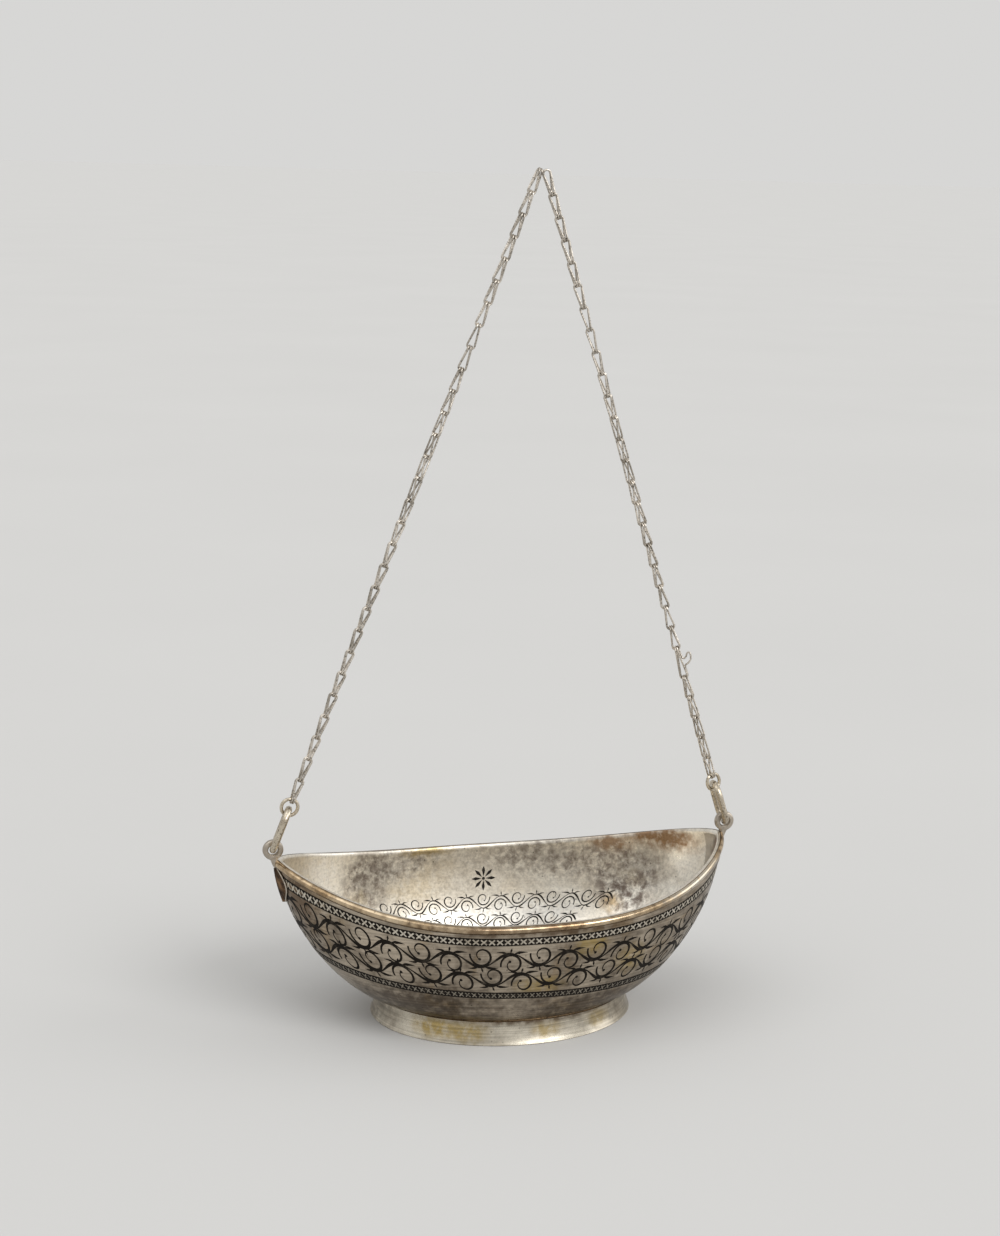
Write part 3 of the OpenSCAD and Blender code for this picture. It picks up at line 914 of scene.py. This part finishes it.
for side, shackle_turn, jump_turn in RING_TURNS:
    points, faces = tube(shackle_path(), SHACKLE_WIRE / 2, sides=20, hint=(1, 0, 0))
    add_piece(side + "_long_ring", moved(strands[side] @ turned(shackle_turn), points), faces, ring_metal,
              body=side + "_shackle", nodes=[side + "_shackle"], slot="ring_metal")
    points, faces = tube(jump_path(), JUMP_WIRE / 2, sides=16, hint=(0, 1, 0))
    add_piece(side + "_small_ring", moved(strands[side] @ turned(jump_turn), points), faces, ring_metal,
              body=side + "_jump_ring", nodes=[side + "_jump_ring"], slot="ring_metal")


# Links: one closed loop of wire each, folded in half, its two looped ends side by side

ARC_POINTS = 15
LEG_SHARES = (0.2, 0.4, 0.6, 0.8)
# Stray bight of the mended link: shares of the way along a leg, and of the bight's length
STRAY_BIGHT = ((0.42, 0), (0.38, 0.4), (0.2, 0.68), (0.22, 1), (0.48, 0.84), (0.62, 0.4), (0.66, 0))


def link_half(pitch, stray):
    """Path of half a link: a fold, a leg, a loop and the leg back."""
    leg = leg_length(pitch)
    bow = math.acos(LOOP_GAP / 2 / math.hypot(FOLD_RADIUS, leg)) - math.atan2(leg, FOLD_RADIUS)
    reach = leg - LOOP_RADIUS
    open_by = math.asin(LOOP_RADIUS / math.hypot(reach, FOLD_GAP / 2)) - math.atan2(FOLD_GAP / 2, reach)

    def on_leg(v, y):
        x = FOLD_RADIUS * math.cos(bow) - v * math.sin(bow)
        return np.array((x, y, FOLD_RADIUS * math.sin(bow) + v * math.cos(bow)))

    fold = []
    for b in np.linspace(math.pi - bow, 2 * math.pi + bow, ARC_POINTS):
        fold.append(np.array((FOLD_RADIUS * math.cos(b), FOLD_GAP / 2, FOLD_RADIUS * math.sin(b))))
    loop = []
    for b in np.linspace(math.pi / 2 + open_by, -math.pi / 2 - open_by, ARC_POINTS):
        loop.append(on_leg(reach + LOOP_RADIUS * math.cos(b), LOOP_RADIUS * math.sin(b)))
    out = loop[0] - fold[-1]
    if stray:
        outward = [fold[-1] + out * s + np.array((0, MEND_LOOP * r, 0)) for s, r in STRAY_BIGHT]
    else:
        outward = [fold[-1] + out * s for s in LEG_SHARES]
    back = fold[-1] * np.array((1, -1, 1)) - loop[-1]
    return fold + outward + loop + [loop[-1] + back * s for s in LEG_SHARES]


def smoothed(path, rounds):
    """A closed path with its corners cut."""
    cut = 0.25
    for _ in range(rounds):
        after = np.roll(path, -1, 0)
        path = np.stack([(1 - cut) * path + cut * after, cut * path + (1 - cut) * after], 1).reshape(-1, 3)
    return path


def link_mesh(pitch, stray=False):
    other_half = [p * np.array((-1, -1, 1)) for p in link_half(pitch, False)]
    path = np.array(link_half(pitch, stray) + other_half)
    return tube(smoothed(path, rounds=2 if stray else 1), LINK_WIRE / 2, sides=10)


def left_link(i):
    points, faces = link_mesh(LINK_PITCH)
    place = strands["left"] @ Matrix.Translation((0, 0, left_s(i) + FOLD_RADIUS))
    return moved(place @ turned(QUARTER + left_turn(i)), points), faces


def right_link(i):
    points, faces = link_mesh(right_pitch(i), i == MENDED)
    place = strands["right"] @ Matrix.Translation((0, 0, right_s(i) + link_tip(right_pitch(i))))
    place = place @ turned(QUARTER + right_turn(i)) @ Matrix.Rotation(math.pi, 4, "X")
    return moved(place, points), faces


for side, count, make in (("left", LEFT_LINKS, left_link), ("right", RIGHT_LINKS, right_link)):
    for k in range(1, (count + 1) // 2 + 1):
        body = f"{side}_chain_{k:02d}"
        links = [i for i in (2 * k - 1, 2 * k) if i <= count and not (side == "right" and i == MENDED)]
        add_piece(body + "_links", *join([make(i) for i in links]), chain_metal, body=body, nodes=[body],
                  slot="chain_metal")
add_piece("mended_link_wire", *right_link(MENDED), chain_metal, body=f"right_chain_{(MENDED + 1) // 2:02d}",
          nodes=["mended_link"], slot="chain_metal")


# Engraving: strokes let into the wall, u being the distance along it and v the distance up it

INLAY_LIFT = 0.04
CROSS_LIFT = 0.07
INLAY_DEPTH = 0.15
# Points at which a band's length is measured, and the step in height that tells its slope
BAND_POINTS = 1441
SLOPE_STEP = 0.05
RING_POINTS = 720
DOT_SIDES = 8


class Band:
    """A row of ornament around the wall, its middle at share t; it leans a little from end to end."""

    def __init__(self, t, lean_by=0.0, inside=False, lift=INLAY_LIFT):
        self.t = t
        self.lean_by = lean_by
        self.inset = WALL if inside else 0.0
        self.sign = -1.0 if inside else 1.0
        self.lift = lift
        self.turn = np.linspace(-np.pi, np.pi, BAND_POINTS)
        line = wall_point(self.share(self.turn), self.turn, self.inset)
        self.run = np.concatenate([[0], np.cumsum(np.linalg.norm(np.diff(line, axis=0), axis=1))])
        self.length = self.run[-1]
        high = wall_point(t + SLOPE_STEP, -np.pi / 2, self.inset)
        low = wall_point(t - SLOPE_STEP, -np.pi / 2, self.inset)
        self.per_mm = 2 * SLOPE_STEP / np.linalg.norm(high - low)

    def share(self, turn):
        return self.t - self.lean_by * np.cos(turn)

    def at(self, u, v, lift):
        """Points at distances u along the band, v above its middle and a lift off the wall."""
        turn = np.interp(np.mod(u, self.length), self.run, self.turn)
        t = self.share(turn) + v * self.per_mm
        points = wall_point(t, turn, self.inset) + self.sign * lift * wall_normal(t, turn, self.inset)
        return np.array(hammered(points, BOWL_DENTS))

    def inlay(self, u, v, faces):
        """A flat shape let into the wall, standing out by the band's lift."""
        if self.sign < 0:
            faces = [f[::-1] for f in faces]
        return slab(self.at(u, v, self.lift), self.at(u, v, -INLAY_DEPTH), faces)

    def stroke(self, u, v, width):
        """A strip of changing width along a line of u and v."""
        du = np.gradient(u)
        dv = np.gradient(v)
        size = np.maximum(np.hypot(du, dv), TINY)
        half = width / 2
        n = len(u)
        faces = [(i, i + 1, n + i + 1, n + i) for i in range(n - 1)]
        return self.inlay(np.concatenate([u + dv / size * half, u - dv / size * half]),
                          np.concatenate([v - du / size * half, v + du / size * half]), faces)

    def ring(self, low, high):
        """A strip right round the wall."""
        u = np.linspace(0, self.length, RING_POINTS, endpoint=False)
        return self.inlay(np.tile(u, 2), np.repeat([low, high], RING_POINTS), grid_faces(2, RING_POINTS))

    def dot(self, u, v, size):
        turn = full_turn(DOT_SIDES)
        return self.inlay(u + size * np.cos(turn), v + size * np.sin(turn), [tuple(range(DOT_SIDES))])


# Borders: silver crosses on a black ground, above and below the scrolls

CROSS_POINTS = 4


def crosses(band, pitch, high, wide, weight):
    """A row of silver crosses right round the wall."""
    count = round(band.length / pitch)
    step = band.length / count
    parts = []
    s = np.linspace(-1, 1, CROSS_POINTS)
    for k in range(count):
        middle = (k + 0.5) * step
        for way in (1, -1):
            parts.append(band.stroke(middle + s * wide / 2, way * s * high / 2, weight))
    return parts


def border(name, t, lean_by, high, cross, silver):
    """A black band with a row of silver crosses on it."""
    ground = Band(t, lean_by).ring(-high / 2, high / 2)
    add_piece(name + "_ground", *ground, black_inlay, slot="bowl_metal", sharp=40)
    row = crosses(Band(t, lean_by, lift=CROSS_LIFT), **cross)
    add_piece(name + "_crosses", *join(row), silver, slot="bowl_metal", sharp=40)


border("upper_border", t=0.887, lean_by=0.02, high=2.8, silver=cross_metal,
       cross={"pitch": 2.75, "high": 1.75, "wide": 2.05, "weight": 0.5})
# The lower row's silver crosses are darkened as painted shade.
border("lower_border", t=0.305, lean_by=0.07, high=2.7, silver=shaded_cross_metal,
       cross={"pitch": 2.25, "high": 1.6, "wide": 1.5, "weight": 0.36})


# Scrolls: a waving stem with a coiling tendril, two leaves and a bud in each bend

# Stem: its swing as a share of half the height, its points to a bend, and how its width pulses
STEM_SWING = 0.62
STEM_POINTS = 14
STEM_WEIGHT = 0.75
STEM_PULSE = 0.3
# Tendril: where it starts and how far it turns, in half turns, and its size, place, widths and end
COIL_POINTS = 26
COIL_START = 1.06
COIL_TURN = 2.35
COIL_SIZE = 0.40
COIL_CLOSING = 0.66
COIL_SHIFT = 0.06
COIL_DROP = 0.20
COIL_STRETCH = 1.05
COIL_MOST = 0.9
COIL_LEAST = 0.35
COIL_DOT = 0.55
# Leaves of the vine: reach, rise and weight of each, and how they start, curve and droop
FRONDS = ((0.46, 0.32, 1.1), (-0.36, 0.36, 0.85))
FROND_POINTS = 12
FROND_START = 0.25
FROND_ROOT = 0.92
FROND_CURVE = 0.8
FROND_DROOP = 0.10
# Bud: its slant, rise and weight
BUD_POINTS = 10
BUD_SLANT = 0.05
BUD_RISE = 0.24
BUD_WEIGHT = 0.8
# Widest place of a leaf, and of a bud or petal, as shares of its length
FROND_WIDEST = 0.35
BUD_WIDEST = 0.6
# Least width of a leaf as a share, and how full it is
POINT_WIDTH = 0.04
FULLNESS = 0.8
# Share of its swelling at which a tendril starts
TAPER_START = 0.25


def leaf_width(count, most, widest):
    s = np.linspace(0, 1, count)
    return most * np.clip(np.minimum(s / widest, (1 - s) / (1 - widest)), POINT_WIDTH, 1) ** FULLNESS


def tapered(count, most, least):
    s = np.linspace(0, 1, count)
    return least + (most - least) * np.sin(np.pi * (TAPER_START + (1 - TAPER_START) * s)) ** 2


def tendril(band, middle, way, half, height, weight):
    """A coil that ends in a dot."""
    s = np.linspace(0, 1, COIL_POINTS)
    angle = np.pi * (COIL_START - COIL_TURN * s)
    radius = COIL_SIZE * half * (1 - COIL_CLOSING * s)
    u = middle + COIL_SHIFT * half + radius * np.cos(angle)
    v = way * (-COIL_DROP * height + radius * np.sin(angle) * COIL_STRETCH)
    width = tapered(COIL_POINTS, COIL_MOST * weight, COIL_LEAST * weight)
    return [band.stroke(u, v, width), band.dot(u[-1], v[-1], COIL_DOT * weight)]


def sprig(band, middle, way, half, height, weight):
    """Two leaves and a bud on the outside of a bend."""
    swing = STEM_SWING * height / 2
    parts = []
    s = np.linspace(0, 1, FROND_POINTS)
    for reach, rise, size in FRONDS:
        u = middle + reach * half * (FROND_START + s)
        v = way * (swing * FROND_ROOT + rise * height / 2 * s ** FROND_CURVE - FROND_DROOP * height * s * s)
        parts.append(band.stroke(u, v, leaf_width(FROND_POINTS, size * weight, FROND_WIDEST)))
    s = np.linspace(0, 1, BUD_POINTS)
    bud_width = leaf_width(BUD_POINTS, BUD_WEIGHT * weight, BUD_WIDEST)
    parts.append(band.stroke(middle + BUD_SLANT * half * s, way * (swing + BUD_RISE * height * s), bud_width))
    return parts


def vine(band, first, last, wave, height, weight):
    """A vine along a band between two distances, with whole waves of about the given length."""
    count = max(2, 2 * round((last - first) / wave))
    half = (last - first) / count
    u = np.linspace(first, last, count * STEM_POINTS + 1)
    v = STEM_SWING * height / 2 * np.sin(np.pi * (u - first) / half)
    parts = [band.stroke(u, v, weight * (STEM_WEIGHT + STEM_PULSE * np.sin(2 * np.pi * (u - first) / half)))]
    for k in range(count):
        middle = first + (k + 0.5) * half
        way = 1 if k % 2 == 0 else -1
        parts += tendril(band, middle, way, half, height, weight)
        parts += sprig(band, middle, way, half, height, weight)
    return parts


# Gap between the two ends of a scroll that goes right round
SCROLL_GAP = 0.02

for name, t, lean_by in (("upper_scroll", 0.695, 0.04), ("lower_scroll", 0.485, 0.055)):
    row = Band(t, lean_by)
    scroll = vine(row, 0, row.length - SCROLL_GAP, wave=21.0, height=8.4, weight=0.95)
    add_piece(name, *join(scroll), black_inlay, slot="bowl_metal", sharp=40)


# Thin scrolls on the inner wall and a flower above them, in the middle of each side

# Share of the wall's height, length and height of each thin scroll
INNER_ROWS = ((0.43, 92, 7.0), (0.24, 64, 6.0))
# Places of the scrolls and of the flowers, as shares of the way around
SCROLL_PLACES = (0.725, 0.25)
FLOWER_PLACES = (0.735, 0.25)
PETALS = 8
PETAL_POINTS = 10
PETAL_WIDTH = 1.25
PETAL_START = 0.9
PETAL_END = 4.6
FLOWER_DOT = 0.6

inner_parts = []
for t, length, height in INNER_ROWS:
    row = Band(t, inside=True)
    for middle in SCROLL_PLACES:
        first = row.length * middle - length / 2
        inner_parts += vine(row, first, first + length, wave=13.0, height=height, weight=0.55)
flower = Band(t=0.68, inside=True)
petal = np.linspace(PETAL_START, PETAL_END, PETAL_POINTS)
petal_width = leaf_width(PETAL_POINTS, PETAL_WIDTH, BUD_WIDEST)
for middle in FLOWER_PLACES:
    centre = flower.length * middle
    for b in full_turn(PETALS):
        inner_parts.append(flower.stroke(centre + petal * math.cos(b), petal * math.sin(b), petal_width))
    inner_parts.append(flower.dot(centre, 0, FLOWER_DOT))
add_piece("inner_scroll", *join(inner_parts), thin_inlay, slot="bowl_metal", sharp=40)


# Floor, room and lamps

ROOM = 0.68
ROOM_TINT = (1.0, 0.995, 0.98)
# Where each lamp stands, how wide it is in degrees, and its power
LAMPS = {
    "key": ((0.42, -0.78, 0.58), 35, 1.45),
    "top": ((-0.5, -0.25, 1.0), 60, 0.7),
    "side": ((0.95, -0.15, 0.38), 40, 0.55),
}
# Half the floor's length, in metres, and how much its shade varies
FLOOR_HALF = 60
FLOOR_SHADES = (0.99, 1.01)

# The floor's shade makes it as bright as the room behind it, so that no line shows between them
lit = ROOM + sum(power * place[2] / math.hypot(*place) for place, size, power in LAMPS.values()) / math.pi
shade = ROOM / lit
dim, pale = [tuple(shade * c * step for c in ROOM_TINT) for step in FLOOR_SHADES]
floor_paint = Paint("floor", metallic=0.0)
floor_cloud = floor_paint.noise(3.0, detail=3, rough=0.55)
floor_paint.set("Base Color", floor_paint.ramp(floor_cloud, (0.3, dim), (0.7, pale)))
floor_paint.set("Roughness", 0.9)
floor_paint.set("Specular IOR Level", 0.0)
floor_mesh = bpy.data.meshes.new("floor")
floor_corners = [(x * FLOOR_HALF, y * FLOOR_HALF, 0) for x, y in ((-1, -1), (1, -1), (1, 1), (-1, 1))]
floor_mesh.from_pydata(floor_corners, [], [(0, 1, 2, 3)])
floor_mesh.materials.append(floor_paint.material)
floor = add_object("floor", floor_mesh)

world = bpy.data.worlds.new("studio")
bpy.context.scene.world = world
world.use_nodes = True
room = world.node_tree.nodes["Background"]
room.inputs["Color"].default_value = (*ROOM_TINT, 1)
room.inputs["Strength"].default_value = ROOM

for name, (place, size, power) in LAMPS.items():
    light = bpy.data.lights.new(name, "SUN")
    light.energy = power
    light.angle = math.radians(size)
    lamp = add_object(name, light)
    lamp.location = place
    lamp.rotation_mode = "QUATERNION"
    lamp.rotation_quaternion = (-Vector(place)).to_track_quat("-Z", "Y")


# Camera

SENSOR = 36

rise = math.radians(CAMERA_RISE)
yaw = math.radians(CAMERA_YAW)
roll = math.radians(CAMERA_ROLL)
forward = Vector((math.sin(yaw) * math.cos(rise), math.cos(yaw) * math.cos(rise), -math.sin(rise)))
level = Vector((math.cos(yaw), -math.sin(yaw), 0))
upright = Vector((math.sin(yaw) * math.sin(rise), math.cos(yaw) * math.sin(rise), math.cos(rise)))
right = math.cos(roll) * level - math.sin(roll) * upright
up = math.sin(roll) * level + math.cos(roll) * upright
camera = add_object("camera", bpy.data.cameras.new("camera"))
camera.data.sensor_width = SENSOR
camera.data.lens = CAMERA_SCALE * CAMERA_REACH * SENSOR / IMAGE_HEIGHT
camera.data.clip_start = 0.01
place = Matrix((right, up, -forward)).transposed().to_4x4()
place.translation = (Vector(CAMERA_TARGET) - CAMERA_REACH * forward) * MM
camera.matrix_world = place
bpy.context.scene.camera = camera
bpy.context.scene.view_settings.view_transform = "Standard"
